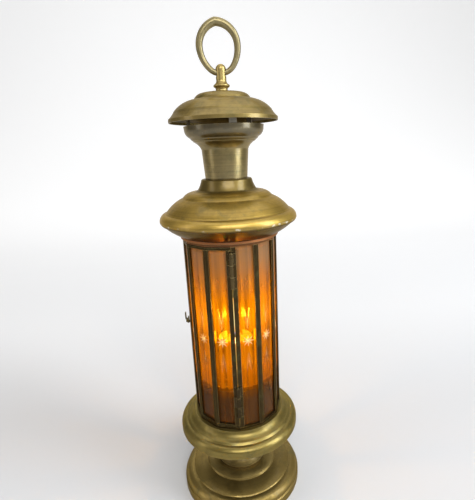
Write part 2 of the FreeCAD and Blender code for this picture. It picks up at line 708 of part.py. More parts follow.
def roof():
    """Tiered roof: collar, bead, dome, round rim, sloping eave and the skirt that fits over the frame."""
    skirt = BODY_RADIUS + SLIP + SHEET
    rim = skirt + ROOF_OVERHANG
    tier = rim - ROOF_RIM_WIDTH
    dome = tier - ROOF_DOME_WIDTH
    collar = CHIMNEY_RADIUS + ROOF_COLLAR_LEDGE
    collar_foot = collar + ROOF_COLLAR_FLARE
    return spun(
        [
            (CHIMNEY_RADIUS - CHIMNEY_SHOULDER + SPIGOT_FIT, ROOF_TOP),
            (collar - GROOVE, ROOF_TOP),
            (collar, ROOF_TOP - GROOVE),
            (collar_foot, ROOF_BEAD + SHEET * 2, -ROOF_COLLAR_BOW),
            (collar_foot + ROOF_FILLET_WIDTH, ROOF_BEAD, -ROOF_FILLET_BOW),
            (dome - GROOVE, ROOF_DOME + GROOVE, ROOF_BEAD_BOW),
            (dome, ROOF_DOME),
            (tier - GROOVE, ROOF_TIER + GROOVE, ROOF_DOME_BOW),
            (tier, ROOF_TIER),
            (rim, EAVE + ROOF_RIM_HEIGHT / 2 - GROOVE, ROOF_RIM_BOW),
            (rim - ROOF_RIM_TUCK, EAVE, ROOF_RIM_UNDER_BOW),
            (skirt + GROOVE, SKIRT_TOP + GROOVE / 2, ROOF_EAVE_BOW),
            (skirt, SKIRT_TOP - GROOVE / 2),
            (skirt, SKIRT_BOTTOM),
        ],
        SHEET,
    )


def roof_seat():
    """Flat ring inside the eave that rests on the top rail and carries the roof."""
    outer = BODY_RADIUS + SLIP - SPIGOT_FIT
    return ring(outer, outer - SEAT_RING_WIDTH, RAIL_TOP, SHEET)


def chimney():
    """Flared cup and tapering neck in one shell, with a shoulder and a spigot in the roof's collar."""
    bead_radius = CUP_RADIUS - CUP_BEAD_INSET
    bead_low = bead_radius - CUP_BEAD_PITCH + CUP_BEAD
    bead = CUP_FOOT + CUP_BEAD_HEIGHT
    spigot = CHIMNEY_RADIUS - CHIMNEY_SHOULDER
    return spun(
        [
            (CUP_RADIUS, CUP_MOUTH),
            (CUP_RADIUS - GROOVE / 2, CUP_MOUTH - CUP_BAND),
            (bead_radius + CUP_BEAD, bead, CUP_BOW),
            (bead_radius, bead - GROOVE),
            (bead_low + CUP_BEAD / 2, bead - CUP_BEAD_PITCH + GROOVE, CUP_BEAD_BOW),
            (bead_low, bead - CUP_BEAD_PITCH),
            (CHIMNEY_RADIUS + CHIMNEY_TAPER, CUP_FOOT, -CUP_FOOT_BOW),
            (CHIMNEY_RADIUS, ROOF_TOP),
            (spigot, ROOF_TOP),
            (spigot, ROOF_TOP - CHIMNEY_SPIGOT),
        ],
        SHEET,
    )


def cap():
    """Two-tier cap with a flared rim."""
    rim = CUP_RADIUS + CAP_OVERHANG
    flare = rim - CAP_FLARE_WIDTH
    tier = flare - CAP_TIER_WIDTH
    crown = tier - CAP_STEP / 2
    return spun(
        [
            (STUD_RADIUS + RUN_FIT, CAP_TOP),
            (FINIAL_BASE_RADIUS, CAP_TOP),
            (crown - CAP_CROWN_WIDTH, CAP_TOP - CAP_CROWN_SLOPE, CAP_SLOPE_BOW),
            (crown, CAP_TIER + CAP_STEP, CAP_CROWN_BOW),
            (tier, CAP_TIER),
            (flare, CAP_FLARE, CAP_TIER_BOW),
            (rim, CAP_BOTTOM + CAP_RIM, -CAP_FLARE_BOW),
            (rim, CAP_BOTTOM),
        ],
        SHEET,
    )


def cap_spider():
    """Hub with three strap arms that bend down inside the cup's mouth."""
    leg_out = CUP_RADIUS - SHEET - GROOVE / 2 - SLIP
    hub = ring(SPIDER_HUB_RADIUS, STUD_RADIUS + RUN_FIT, SPIDER_BOTTOM, SHEET)
    half = SPIDER_WIDTH / 2
    leg_bottom = CUP_MOUTH - SPIDER_DROP
    leg_top = SPIDER_BOTTOM + SHEET
    for leg in range(SPIDER_LEGS):
        arm = Part.makeBox(leg_out - STUD_RADIUS * 2, SPIDER_WIDTH, SHEET)
        arm.translate(FreeCAD.Vector(STUD_RADIUS * 2, -half, SPIDER_BOTTOM))
        drop = Part.makeBox(SHEET, SPIDER_WIDTH, leg_top - leg_bottom)
        drop.translate(FreeCAD.Vector(leg_out - SHEET, -half, leg_bottom))
        strap = arm.fuse(drop)
        strap.rotate(FreeCAD.Vector(), FreeCAD.Vector(0, 0, 1), SPIDER_TURN + 360.0 / SPIDER_LEGS * leg)
        hub = hub.fuse(strap)
    return hub.removeSplitter()


def finial():
    """Turned stud with a collar, an eye for the ring and a threaded tail through the cap."""
    tail = SPIDER_BOTTOM - FINIAL_NUT - STUD_TAIL
    collar = CAP_TOP + FINIAL_COLLAR_RISE
    stud = solid_of_turn(
        [
            (0, EYE + FINIAL_CROWN),
            (FINIAL_POST_RADIUS, EYE + FINIAL_CROWN - FINIAL_DOME, dome_bow(FINIAL_POST_RADIUS, FINIAL_DOME)),
            (FINIAL_POST_RADIUS, CAP_TOP + FINIAL_POST_RISE),
            (FINIAL_COLLAR_RADIUS, collar + FINIAL_COLLAR / 2, -FINIAL_POST_BOW),
            (FINIAL_COLLAR_RADIUS, collar - FINIAL_COLLAR / 2, FINIAL_COLLAR_BOW),
            (FINIAL_WAIST_RADIUS, CAP_TOP + FINIAL_WAIST_RISE, -FINIAL_UNDER_BOW),
            (FINIAL_BASE_RADIUS, CAP_TOP, -FINIAL_BASE_BOW),
            (STUD_RADIUS, CAP_TOP),
            (STUD_RADIUS, tail),
            (0, tail),
        ]
    )
    reach = FINIAL_COLLAR_RADIUS
    eye = Part.makeCylinder(eye_radius(), 2 * reach, FreeCAD.Vector(-reach, 0, EYE), FreeCAD.Vector(1, 0, 0))
    return stud.cut(eye)


def ring_sag():
    """How far the ring's curve rises inside the eye."""
    return RING_BOTTOM_RADIUS - math.sqrt(RING_BOTTOM_RADIUS**2 - FINIAL_POST_RADIUS**2)


def eye_radius():
    """Hole that the curved rod passes through with room to swing."""
    slant = math.asin(FINIAL_POST_RADIUS / RING_BOTTOM_RADIUS)
    return RING_ROD / math.cos(slant) + ring_sag() / 2 + EYE_ROOM


def half_ring():
    """Right half of the ring in the XZ plane: bottom arc, side arc and the arc up to the point."""
    bottom = EYE - ring_sag() / 2
    slant = (RING_HALF_WIDTH - RING_BOTTOM_RADIUS) / (RING_LOWER - RING_BOTTOM_RADIUS)
    turn = math.pi / 2 - 2 * math.atan(slant)
    side_radius = (RING_LOWER - RING_BOTTOM_RADIUS) / math.cos(turn) + RING_BOTTOM_RADIUS
    top_radius = (RING_UPPER**2 + RING_HALF_WIDTH**2) / (2 * RING_HALF_WIDTH)
    widest = bottom + RING_LOWER
    peak_turn = math.acos(1 - RING_HALF_WIDTH / top_radius)
    overrun = peak_turn + RING_PEAK_ROD / top_radius

    def low(angle):
        return at(RING_BOTTOM_RADIUS * math.sin(angle), bottom + RING_BOTTOM_RADIUS * (1 - math.cos(angle)))

    def side(angle):
        reach = side_radius * (1 - math.sin(angle))
        return at(RING_HALF_WIDTH - reach, widest - side_radius * math.cos(angle))

    def high(angle):
        return at(RING_HALF_WIDTH - top_radius * (1 - math.cos(angle)), widest + top_radius * math.sin(angle))

    arcs = [
        Part.Arc(low(0), low(turn / 2), low(turn)).toShape(),
        Part.Arc(low(turn), side((turn + math.pi / 2) / 2), high(0)).toShape(),
        Part.Arc(high(0), high(overrun / 2), high(overrun)).toShape(),
    ]
    peak_way = FreeCAD.Vector(-math.sin(overrun), 0, math.cos(overrun))
    sweep = Part.BRepOffsetAPI.MakePipeShell(Part.Wire(arcs))
    sweep.add(Part.Wire(Part.makeCircle(RING_ROD, low(0), FreeCAD.Vector(1, 0, 0))))
    sweep.add(Part.Wire(Part.makeCircle(RING_PEAK_ROD, high(overrun), peak_way)))
    sweep.build()
    sweep.makeSolid()
    height = RING_LOWER + RING_UPPER + 4 * RING_PEAK_ROD
    keep = Part.makeBox(2 * RING_HALF_WIDTH, 4 * RING_PEAK_ROD, height)
    keep.translate(FreeCAD.Vector(0, -2 * RING_PEAK_ROD, bottom - 2 * RING_PEAK_ROD))
    return sweep.shape().common(keep)


def hanging_ring():
    """Pointed ring through the finial's eye, leaning a little in its own plane."""
    right = half_ring()
    left = right.mirror(FreeCAD.Vector(), FreeCAD.Vector(1, 0, 0))
    whole = right.fuse(left)
    centre = at(0, EYE - ring_sag() / 2 + RING_BOTTOM_RADIUS)
    whole.rotate(centre, FreeCAD.Vector(0, 1, 0), -RING_LEAN)
    return whole


def platform():
    """Twelve-sided tray on the column, close to the backs of the bars."""
    radius = BODY_RADIUS - (BAR_DEPTH + PLATFORM_GAP) / math.cos(HALF_SIDE)
    outer = prism(polygon(radius, PLATFORM_BOTTOM), PLATFORM_RIM)
    inner = prism(polygon(radius - SHEET / math.cos(HALF_SIDE), DISH_BOTTOM), PLATFORM_RIM)
    hole = Part.makeCylinder(TIE_ROD_RADIUS + RUN_FIT, SHEET, at(0, PLATFORM_BOTTOM))
    return outer.cut(inner).cut(hole)


def candle_cup():
    """Drip dish with an upright socket, screwed on the top of the tie rod."""
    socket = CANDLE_RADIUS + SLIP
    socket_top = CANDLE_BOTTOM + SOCKET_HEIGHT
    dish = socket + SHEET + DISH_WIDTH
    dish_floor = DISH_BOTTOM + SHEET
    return solid_of_turn(
        [
            (TIE_ROD_RADIUS + RUN_FIT, DISH_BOTTOM),
            (dish, DISH_BOTTOM),
            (dish, DISH_BOTTOM + DISH_RIM),
            (dish - SHEET, DISH_BOTTOM + DISH_RIM),
            (dish - SHEET, dish_floor),
            (socket + SHEET, dish_floor),
            (socket + SHEET, socket_top),
            (socket, socket_top),
            (socket, CANDLE_BOTTOM),
            (TIE_ROD_RADIUS + RUN_FIT, CANDLE_BOTTOM),
        ]
    )


def candle():
    """Short candle with a melted hollow round the wick."""
    bore = WICK_RADIUS + RUN_FIT
    return solid_of_turn(
        [
            (bore, CANDLE_TOP - CANDLE_POOL),
            (CANDLE_RADIUS - CANDLE_LIP, CANDLE_TOP, -CANDLE_POOL_BOW),
            (CANDLE_RADIUS, CANDLE_TOP - CANDLE_LIP / 2, CANDLE_LIP_BOW),
            (CANDLE_RADIUS, CANDLE_BOTTOM),
            (bore, CANDLE_BOTTOM),
        ]
    )


def wick():
    """Wick through the candle, with its burnt end standing out of the pool."""
    height = CANDLE_HEIGHT - CANDLE_POOL + WICK_HEIGHT
    return Part.makeCylinder(WICK_RADIUS, height, at(0, CANDLE_BOTTOM))


def save_foot_and_stand():
    rod_bottom = FOOT_HEIGHT - SHEET - WASHER - TIE_NUT - TIE_ROD_END
    washer_bottom = FOOT_HEIGHT - SHEET - WASHER
    bore = TIE_ROD_RADIUS + RUN_FIT
    save("foot", foot())
    save("base_plate", Part.makeCylinder(FOOT_RADIUS - SHEET - SPIGOT_FIT, BASE_PLATE))
    save("stem", stem())
    save("gallery", gallery())
    save("foot_washer", ring(WASHER_RADIUS, bore, washer_bottom, WASHER))
    save("foot_nut", hex_nut(TIE_NUT_FLATS, bore, washer_bottom - TIE_NUT, TIE_NUT))
    save("tie_rod", Part.makeCylinder(TIE_ROD_RADIUS, CANDLE_BOTTOM - SLIP - rod_bottom, at(0, rod_bottom)))
    save("platform_column", ring(COLUMN_RADIUS, bore, GALLERY_SEAT, COLUMN_LENGTH))
    save("platform", platform())
    save("candle_cup", candle_cup())
    save("candle", candle())
    save("wick", wick())


def save_fixed_frame():
    save("bottom_rail", body_rail(GALLERY_SEAT, BOTTOM_RAIL))
    save("top_rail", body_rail(BARS_TOP, TOP_RAIL))
    fixed_corners = range(1, SIDES - DOOR_SIDES)
    for corner in fixed_corners:
        save("corner_bar_%d" % corner, corner_bar(corner, BARS_BOTTOM, BARS_TOP))
    save("hinge_jamb", jamb(0, 1, BARS_BOTTOM, BARS_TOP).cut(hinge_clearance()))
    keeper_hole = latch_hole(-JAMB_MIDDLE, KEEPER_LEVEL)
    save("latch_jamb", jamb(LATCH_CORNER, -1, BARS_BOTTOM, BARS_TOP).cut(keeper_hole))
    save("keeper_stud", keeper_stud())
    for number in range(SIDES - DOOR_SIDES):
        save("pane_%d" % (number + 1), pane(number, BARS_BOTTOM, BARS_TOP - SLIP))
    save("frame_knuckles", *hinge_knuckles(1, (0, 2)))
    save("hinge_pins", hinge_pin(LOWER_HINGE), hinge_pin(UPPER_HINGE))


def save_door():
    bottom = DOOR_BOTTOM + DOOR_RAIL
    top = DOOR_TOP - DOOR_RAIL
    save("door_bottom_rail", door_rail(DOOR_BOTTOM))
    save("door_top_rail", door_rail(top))
    save("door_hinge_stile", jamb(0, -1, bottom, top).cut(hinge_clearance()))
    screw_hole = latch_hole(JAMB_MIDDLE, LATCH_LEVEL)
    save("door_latch_stile", jamb(LATCH_CORNER, 1, bottom, top).cut(screw_hole))
    save("latch_screw", latch_screw())
    save("latch_lever", latch_lever())
    for number in range(1, DOOR_SIDES):
        save("door_bar_%d" % number, corner_bar(-number, bottom, top))
    for number in range(1, DOOR_SIDES + 1):
        save("door_pane_%d" % number, pane(-number, bottom, top - SLIP))
    save("door_knuckles", *hinge_knuckles(-1, (1,)))


def save_top():
    cap_underside = CAP_TOP - SHEET
    spider_top = SPIDER_BOTTOM + SHEET
    bore = STUD_RADIUS + RUN_FIT
    save("roof", roof())
    save("roof_seat", roof_seat())
    save("chimney", chimney())
    save("cap", cap())
    save("cap_spider", cap_spider())
    save("cap_spacer", ring(SPACER_RADIUS, bore, spider_top, cap_underside - spider_top))
    save("finial", finial())
    save("finial_nut", hex_nut(FINIAL_NUT_FLATS, bore, SPIDER_BOTTOM - FINIAL_NUT, FINIAL_NUT))
    save("hanging_ring", hanging_ring())


save_foot_and_stand()
save_fixed_frame()
save_door()
save_top()
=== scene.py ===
"""Looks of a brass candle lantern: finishes of its pieces, the candle's flame and a plain studio."""

import math

import bpy
from mathutils import Matrix, Vector


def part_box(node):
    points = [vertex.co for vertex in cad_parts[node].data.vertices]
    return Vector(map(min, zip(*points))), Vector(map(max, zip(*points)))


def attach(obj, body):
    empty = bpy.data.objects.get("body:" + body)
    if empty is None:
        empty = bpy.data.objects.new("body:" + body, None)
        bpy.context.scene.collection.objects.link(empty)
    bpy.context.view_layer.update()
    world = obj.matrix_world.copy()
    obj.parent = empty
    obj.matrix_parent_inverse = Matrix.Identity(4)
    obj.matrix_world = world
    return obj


bl_info = {
    "name": "Candle Lantern",
    "version": (1, 0, 0),
    "blender": (4, 5, 0),
    "location": "View3D > Sidebar > Lantern",
    "description": "Finishes a brass candle lantern with amber panes and sets it in a studio",
    "category": "Object",
}

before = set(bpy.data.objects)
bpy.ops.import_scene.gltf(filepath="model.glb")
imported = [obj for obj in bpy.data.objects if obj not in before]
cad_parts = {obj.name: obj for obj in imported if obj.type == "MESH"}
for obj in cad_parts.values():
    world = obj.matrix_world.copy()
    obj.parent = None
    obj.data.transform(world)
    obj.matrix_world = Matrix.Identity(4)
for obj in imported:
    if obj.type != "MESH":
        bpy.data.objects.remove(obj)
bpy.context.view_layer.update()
SIDES = 12                          # panes round the body
SIDE_ANGLE = 2 * math.pi / SIDES
GLASS_IOR = 1.5
BLACK = (0.0, 0.0, 0.0)
WICK_IN_FLAME = 0.004               # length of wick that the flame covers
GLOW_SHARE = 0.75                   # height of the flame's light as a share of the flame's height
# Outline of the flame from its foot to its tip, as shares of its radius and its height.
FLAME_OUTLINE = ((0.10, 0.0), (0.55, 0.06), (0.88, 0.16), (1.0, 0.28), (0.92, 0.42), (0.70, 0.58),
                 (0.42, 0.76), (0.18, 0.90), (0.05, 0.985))
# Colours of the flame from its foot to its tip, each at a share of its height.
FLAME_COLOURS = ((0.0, (0.12, 0.16, 0.55)), (0.14, (1.0, 0.45, 0.10)), (0.35, (1.0, 0.78, 0.34)),
                 (0.75, (1.0, 0.66, 0.20)), (1.0, (1.0, 0.38, 0.06)))


class BrassSettings(bpy.types.PropertyGroup):
    """Colours and grain of the metal."""

    fresh: bpy.props.FloatVectorProperty(
        name="Rubbed brass", description="Colour of edges kept bright by handling",
        default=(0.62, 0.46, 0.18), min=0, max=1, subtype="COLOR")
    tarnish: bpy.props.FloatVectorProperty(
        name="Tarnish", description="Brown colour of old, untouched brass",
        default=(0.045, 0.030, 0.012), min=0, max=1, subtype="COLOR")
    bloom: bpy.props.FloatVectorProperty(
        name="Green bloom", description="Dull green film in sheltered places",
        default=(0.105, 0.112, 0.048), min=0, max=1, subtype="COLOR")
    speck: bpy.props.FloatVectorProperty(
        name="Specks", description="Pale specks where the tarnish has flaked",
        default=(0.64, 0.56, 0.40), min=0, max=1, subtype="COLOR")
    # Colour of the painted shade and soot on undersides.
    soot_and_shade: bpy.props.FloatVectorProperty(
        name="Soot", description="Colour of undersides that the candle's smoke reaches",
        default=(0.022, 0.014, 0.008), min=0, max=1, subtype="COLOR")
    lathe_pitch: bpy.props.FloatProperty(
        name="Lathe pitch", description="Distance between two turning marks",
        default=0.0011, min=0.0001, max=0.01, unit="LENGTH", precision=4)
    edge_width: bpy.props.FloatProperty(
        name="Edge wear", description="Width of the rubbed strip along an edge",
        default=0.0009, min=0.0001, max=0.01, unit="LENGTH", precision=4)


class GlassSettings(bpy.types.PropertyGroup):
    """Colours and lines of the panes."""

    amber: bpy.props.FloatVectorProperty(
        name="Amber", description="Colour of light that has passed through one pane",
        default=(0.62, 0.41, 0.03), min=0, max=1, subtype="COLOR")
    smoked: bpy.props.FloatVectorProperty(
        name="Smoked amber", description="Darker streaks in the glass",
        default=(0.38, 0.225, 0.018), min=0, max=1, subtype="COLOR")
    cut: bpy.props.FloatVectorProperty(
        name="Cut", description="Pale ground surface of the star and the long cuts",
        default=(1.0, 0.90, 0.60), min=0, max=1, subtype="COLOR")
    glow: bpy.props.FloatVectorProperty(
        name="Glow", description="Colour that the glass scatters when a flame burns behind it",
        default=(0.98, 0.43, 0.006), min=0, max=1, subtype="COLOR")
    # Also the colour of the painted reflection of the room in the smoke near the top.
    haze_and_reflection: bpy.props.FloatVectorProperty(
        name="Haze", description="Colour of smoke and dust on the glass",
        default=(0.28, 0.195, 0.105), min=0, max=1, subtype="COLOR")
    cut_line: bpy.props.FloatProperty(
        name="Cut lines", description="Width of the pale line along the folds of a cut",
        default=0.00045, min=0.0001, max=0.005, unit="LENGTH", precision=5)
    streak_width: bpy.props.FloatProperty(
        name="Streak width", description="Width of the upright streaks in the glass",
        default=0.0045, min=0.0005, max=0.05, unit="LENGTH", precision=4)


class CandleSettings(bpy.types.PropertyGroup):
    """Wax and flame."""

    wax: bpy.props.FloatVectorProperty(
        name="Wax", description="Colour of the candle",
        default=(0.66, 0.52, 0.30), min=0, max=1, subtype="COLOR")
    flame_height: bpy.props.FloatProperty(
        name="Flame height", description="Height of the flame above its foot on the wick",
        default=0.044, min=0.01, max=0.1, unit="LENGTH")
    flame_radius: bpy.props.FloatProperty(
        name="Flame radius", description="Radius of the flame where it is widest",
        default=0.0062, min=0.001, max=0.03, unit="LENGTH", precision=4)
    flame_strength: bpy.props.FloatProperty(
        name="Flame strength", description="Brightness of the flame's surface",
        default=1.2, min=0, max=500)
    glow_power: bpy.props.FloatProperty(
        name="Glow", description="Power of the light that the flame gives",
        default=0.42, min=0, max=100, unit="POWER")


class StageSettings(bpy.types.PropertyGroup):
    """Floor, lamps and camera."""

    floor: bpy.props.FloatVectorProperty(
        name="Floor", description="Colour of the floor and backdrop",
        default=(0.645, 0.645, 0.65), min=0, max=1, subtype="COLOR")
    room: bpy.props.FloatVectorProperty(
        name="Room", description="Soft light from all round",
        default=(0.17, 0.17, 0.176), min=0, max=1, subtype="COLOR")
    key_power: bpy.props.FloatProperty(
        name="Window light", description="Power of the tall soft light on the right",
        default=47.0, min=0, unit="POWER")
    fill_power: bpy.props.FloatProperty(
        name="Fill light", description="Power of the soft light on the left",
        default=10.0, min=0, unit="POWER")
    front_power: bpy.props.FloatProperty(
        name="Front light", description="Power of the soft light above the camera",
        default=34.0, min=0, unit="POWER")
    top_power: bpy.props.FloatProperty(
        name="Top light", description="Power of the soft light overhead",
        default=38.0, min=0, unit="POWER")
    distance: bpy.props.FloatProperty(
        name="Camera distance", description="From the camera to the lantern's axis",
        default=0.394, min=0.1, unit="LENGTH")
    height: bpy.props.FloatProperty(
        name="Camera height", description="Camera above the floor", default=0.38809, unit="LENGTH")
    pitch: bpy.props.FloatProperty(
        name="Pitch", description="Angle that the camera looks down", default=0.2673, subtype="ANGLE")
    yaw: bpy.props.FloatProperty(
        name="Yaw", description="Angle that the camera looks to the right", default=0.0580, subtype="ANGLE")
    roll: bpy.props.FloatProperty(
        name="Roll", description="Turn of the camera about its view", default=-0.0388, subtype="ANGLE")
    lens: bpy.props.FloatProperty(
        name="Lens", description="Focal length of the camera", default=27.505, min=1, unit="CAMERA")
    shift_x: bpy.props.FloatProperty(
        name="Shift sideways", description="Sideways shift of the picture", default=-0.0292)
    shift_y: bpy.props.FloatProperty(
        name="Shift upwards", description="Upward shift of the picture", default=0.0074)


def put(tree, entry, value):
    """Link a wrapped socket to an input, or set a plain value on it."""
    if isinstance(value, Shade):
        tree.links.new(value.socket, entry)
    else:
        entry.default_value = value


class Shade:
    """Socket of a shader node, on which arithmetic adds Math nodes."""

    def __init__(self, tree, socket):
        self.tree = tree
        self.socket = socket

    def maths(self, operation, *values):
        node = self.tree.nodes.new("ShaderNodeMath")
        node.operation = operation
        for entry, value in zip(node.inputs, values):
            put(self.tree, entry, value)
        return Shade(self.tree, node.outputs[0])

    def __add__(self, other):
        return self.maths("ADD", self, other)

    def __radd__(self, other):
        return self.maths("ADD", other, self)

    def __sub__(self, other):
        return self.maths("SUBTRACT", self, other)

    def __rsub__(self, other):
        return self.maths("SUBTRACT", other, self)

    def __mul__(self, other):
        return self.maths("MULTIPLY", self, other)

    def __rmul__(self, other):
        return self.maths("MULTIPLY", other, self)

    def __truediv__(self, other):
        return self.maths("DIVIDE", self, other)

    def __rtruediv__(self, other):
        return self.maths("DIVIDE", other, self)

    def __pow__(self, other):
        return self.maths("POWER", self, other)

    def __abs__(self):
        return self.maths("ABSOLUTE", self)


class Finish:
    """A material under construction."""

    def __init__(self, name):
        self.material = bpy.data.materials.new(name)
        self.material.use_nodes = True
        self.tree = self.material.node_tree
        self.tree.nodes.clear()
        self.place = self.add("TexCoord", {}, "Object")
        split = self.node("SeparateXYZ", {"Vector": self.place})
        self.x, self.y, self.z = (Shade(self.tree, socket) for socket in split.outputs)

    def node(self, kind, inputs, **settings):
        """Add a node: its settings first, then the values or links of its sockets."""
        node = self.tree.nodes.new("ShaderNode" + kind)
        for name, setting in settings.items():
            if name == "stops":
                self.set_stops(node.color_ramp, setting)
            else:
                setattr(node, name, setting)
        for name, value in inputs.items():
            entry = node.inputs[name] if isinstance(name, int) else self.entry(node, name)
            put(self.tree, entry, value)
        return node

    @staticmethod
    def entry(node, name):
        return next(socket for socket in node.inputs if name in (socket.identifier, socket.name))

    @staticmethod
    def set_stops(ramp, stops):
        while len(ramp.elements) < len(stops):
            ramp.elements.new(1.0)
        for element, (position, colour) in zip(ramp.elements, stops):
            element.position = position
            element.color = (*colour, 1.0)

    def add(self, kind, inputs, output=0, **settings):
        """Add a node and give one of its outputs."""
        return Shade(self.tree, self.node(kind, inputs, **settings).outputs[output])

    def maths(self, operation, *values):
        """A Math node that no operator stands for."""
        return self.add("Math", dict(enumerate(values)), operation=operation)

    def noise(self, vector, scale, detail=4.0, roughness=0.55, distortion=0.0):
        return self.add("TexNoise", {"Vector": vector, "Scale": scale, "Detail": detail,
                                     "Roughness": roughness, "Distortion": distortion}, "Fac")

    def step(self, value, low, high):
        """0 below low, 1 above high, smooth between."""
        return self.add("MapRange", {"Value": value, "From Min": low, "From Max": high},
                        interpolation_type="SMOOTHSTEP")

    def band(self, value, middle, half, soft):
        """1 within half of the middle, fading out over soft."""
        return 1 - self.step(abs(value - middle), half, half + soft)

    def mix(self, factor, one, two):
        """Colour between two others."""
        inputs = {"Factor_Float": factor, "A_Color": self.colour(one), "B_Color": self.colour(two)}
        node = self.node("Mix", inputs, data_type="RGBA")
        return Shade(self.tree, next(s for s in node.outputs if s.identifier == "Result_Color"))

    @staticmethod
    def colour(value):
        return value if isinstance(value, Shade) else (*value[:3], 1.0)

    def blend(self, factor, one, two):
        """Shader between two others."""
        return self.add("MixShader", {0: factor, 1: one, 2: two})

    def vector(self, x, y, z):
        return self.add("CombineXYZ", {"X": x, "Y": y, "Z": z})

    def reach(self, x=0.0, y=0.0):
        """Distance from an upright axis."""
        across, along = self.x - x, self.y - y
        return (across * across + along * along) ** 0.5

    def agreement(self, one, two):
        """1 where two directions agree, 0 where they are square to each other."""
        return self.add("VectorMath", {0: one, 1: two}, "Value", operation="DOT_PRODUCT")

    def creases(self, width, low, high):
        """1 along the edges and folds of a mesh, over a width."""
        rounded = self.add("Bevel", {"Radius": width}, samples=4)
        return self.step(1 - self.agreement(rounded, self.add("NewGeometry", {}, "True Normal")), low, high)

    def bump(self, height, distance):
        return self.add("Bump", {"Height": height, "Distance": distance})

    def end(self, shader):
        output = self.node("OutputMaterial", {})
        self.tree.links.new(shader.socket, output.inputs["Surface"])
        return self.material


def between(one, two, share):
    """Plain colour part of the way from one to two."""
    return tuple(a + (b - a) * share for a, b in zip(one, two))


def assign(material, *nodes):
    """Give CAD nodes a finish in all their material slots."""
    for name in nodes:
        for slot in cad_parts[name].material_slots:
            slot.material = material


def names_with(*starts):
    return [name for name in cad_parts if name.startswith(starts)]


def turning_marks(finish, pitch):
    """Fine rings that the lathe left."""
    return finish.noise(finish.vector(finish.reach(), finish.z, 0.0), 1.0 / pitch, 2.0, 0.7)


def drawing_marks(finish):
    """Fine upright lines on drawn bars."""
    return finish.noise(finish.vector(finish.x * 6.0, finish.y * 6.0, finish.z * 0.25), 180.0, 3.0, 0.6)


def aged_brass(name, tone, polish, dirt, turned=True, rough=0.42, soot_and_shade=0.0, film=0.05, edge=1.0, marks=None):
    """Old brass: tarnish in patches, turning marks, rubbed edges, darker and duller brass in hollows, and
    painted shade with some soot on undersides.
    """
    brass = bpy.context.scene.lantern_brass
    finish = Finish(name)
    patches = finish.noise(finish.place, 26.0, 7.0, 0.6, 0.6)
    blotches = finish.noise(finish.place, 70.0, 6.0, 0.65, 0.8)
    mottle = finish.noise(finish.place, 260.0, 5.0, 0.6)
    fine = finish.noise(finish.place, 1500.0, 3.0, 0.6)
    dents = finish.noise(finish.place, 34.0, 2.0, 0.5)
    lines = turning_marks(finish, brass.lathe_pitch) if turned else drawing_marks(finish)
    edges = finish.creases(brass.edge_width * edge, 0.015, 0.20)
    open_air = finish.add("AmbientOcclusion", {"Distance": 0.006}, "AO", samples=4)
    # Darker, duller brass in hollows that the occlusion node finds.
    hollow_darkening = finish.step(1 - open_air, 0.26, 0.8)
    wear = edges * (0.35 + 0.65 * mottle) * finish.step(open_air, 0.45, 0.75) * polish
    tarnish = finish.step(patches * 0.7 + mottle * 0.3, 0.42, 0.62) * dirt
    specks = finish.step(finish.noise(finish.place, 420.0, 2.0, 0.5), 0.74, 0.80) * polish * 0.6
    base = finish.mix(tarnish * 0.65, between(tone, brass.fresh, 0.06), between(tone, brass.tarnish, 0.5))
    base = finish.mix(finish.step(blotches, 0.52, 0.70) * 0.45 * dirt, base, brass.bloom)
    base = finish.mix((lines - 0.5) * 0.7 + 0.1, base, brass.tarnish)
    if marks:
        base = marks(finish, base)
    base = finish.mix(hollow_darkening * 0.9, base, brass.tarnish)
    base = finish.mix(wear, base, brass.fresh)
    base = finish.mix(specks, base, brass.speck)
    roughness = rough + tarnish * 0.12 + hollow_darkening * 0.2 + (fine - 0.5) * 0.16 - wear * 0.08
    # Painted shade on undersides, with some soot: faces turned down are darkened.
    if soot_and_shade:
        facing = finish.node("SeparateXYZ", {"Vector": finish.add("TexCoord", {}, "Normal")})
        downward = 0 - Shade(finish.tree, facing.outputs["Z"])
        under = finish.step(downward, 0.1, 0.6) * (0.6 + 0.4 * blotches) * soot_and_shade
        base = finish.mix(under, base, brass.soot_and_shade)
        roughness = roughness - under * 0.1
    height = lines * 0.30 + fine * 0.12 + mottle * 0.45 + dents * 5.0
    return finish.end(finish.add("BsdfPrincipled", {
        "Base Color": base, "Metallic": 0.92 - hollow_darkening * 0.3 - tarnish * 0.15, "Roughness": roughness,
        "Specular IOR Level": 0.3, "Specular Tint": (0.62, 0.52, 0.36, 1.0),
        "Coat Weight": film, "Coat Roughness": 0.15, "Coat IOR": 2.1,
        "Normal": finish.bump(height, 0.00022)}))


def foot_shade_and_highlight(finish, base):
    """Painted shade on the dome under the gallery, and a painted highlight on the slope round the stem."""
    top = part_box("foot")[1].z
    dome, groove = 0.046, 0.060
    step_foot, step_top = top - 0.0030, top - 0.0020
    # Painted shade: the dome near the stem, under the gallery, is darkened.
    base = finish.mix((1 - finish.step(finish.reach(), dome, groove)) * 0.2, base, (0.12, 0.085, 0.030))
    # Painted highlight: the slope round the stem is lightened.
    return finish.mix(finish.step(finish.z, step_foot, step_top) * 0.5, base, (0.40, 0.29, 0.10))


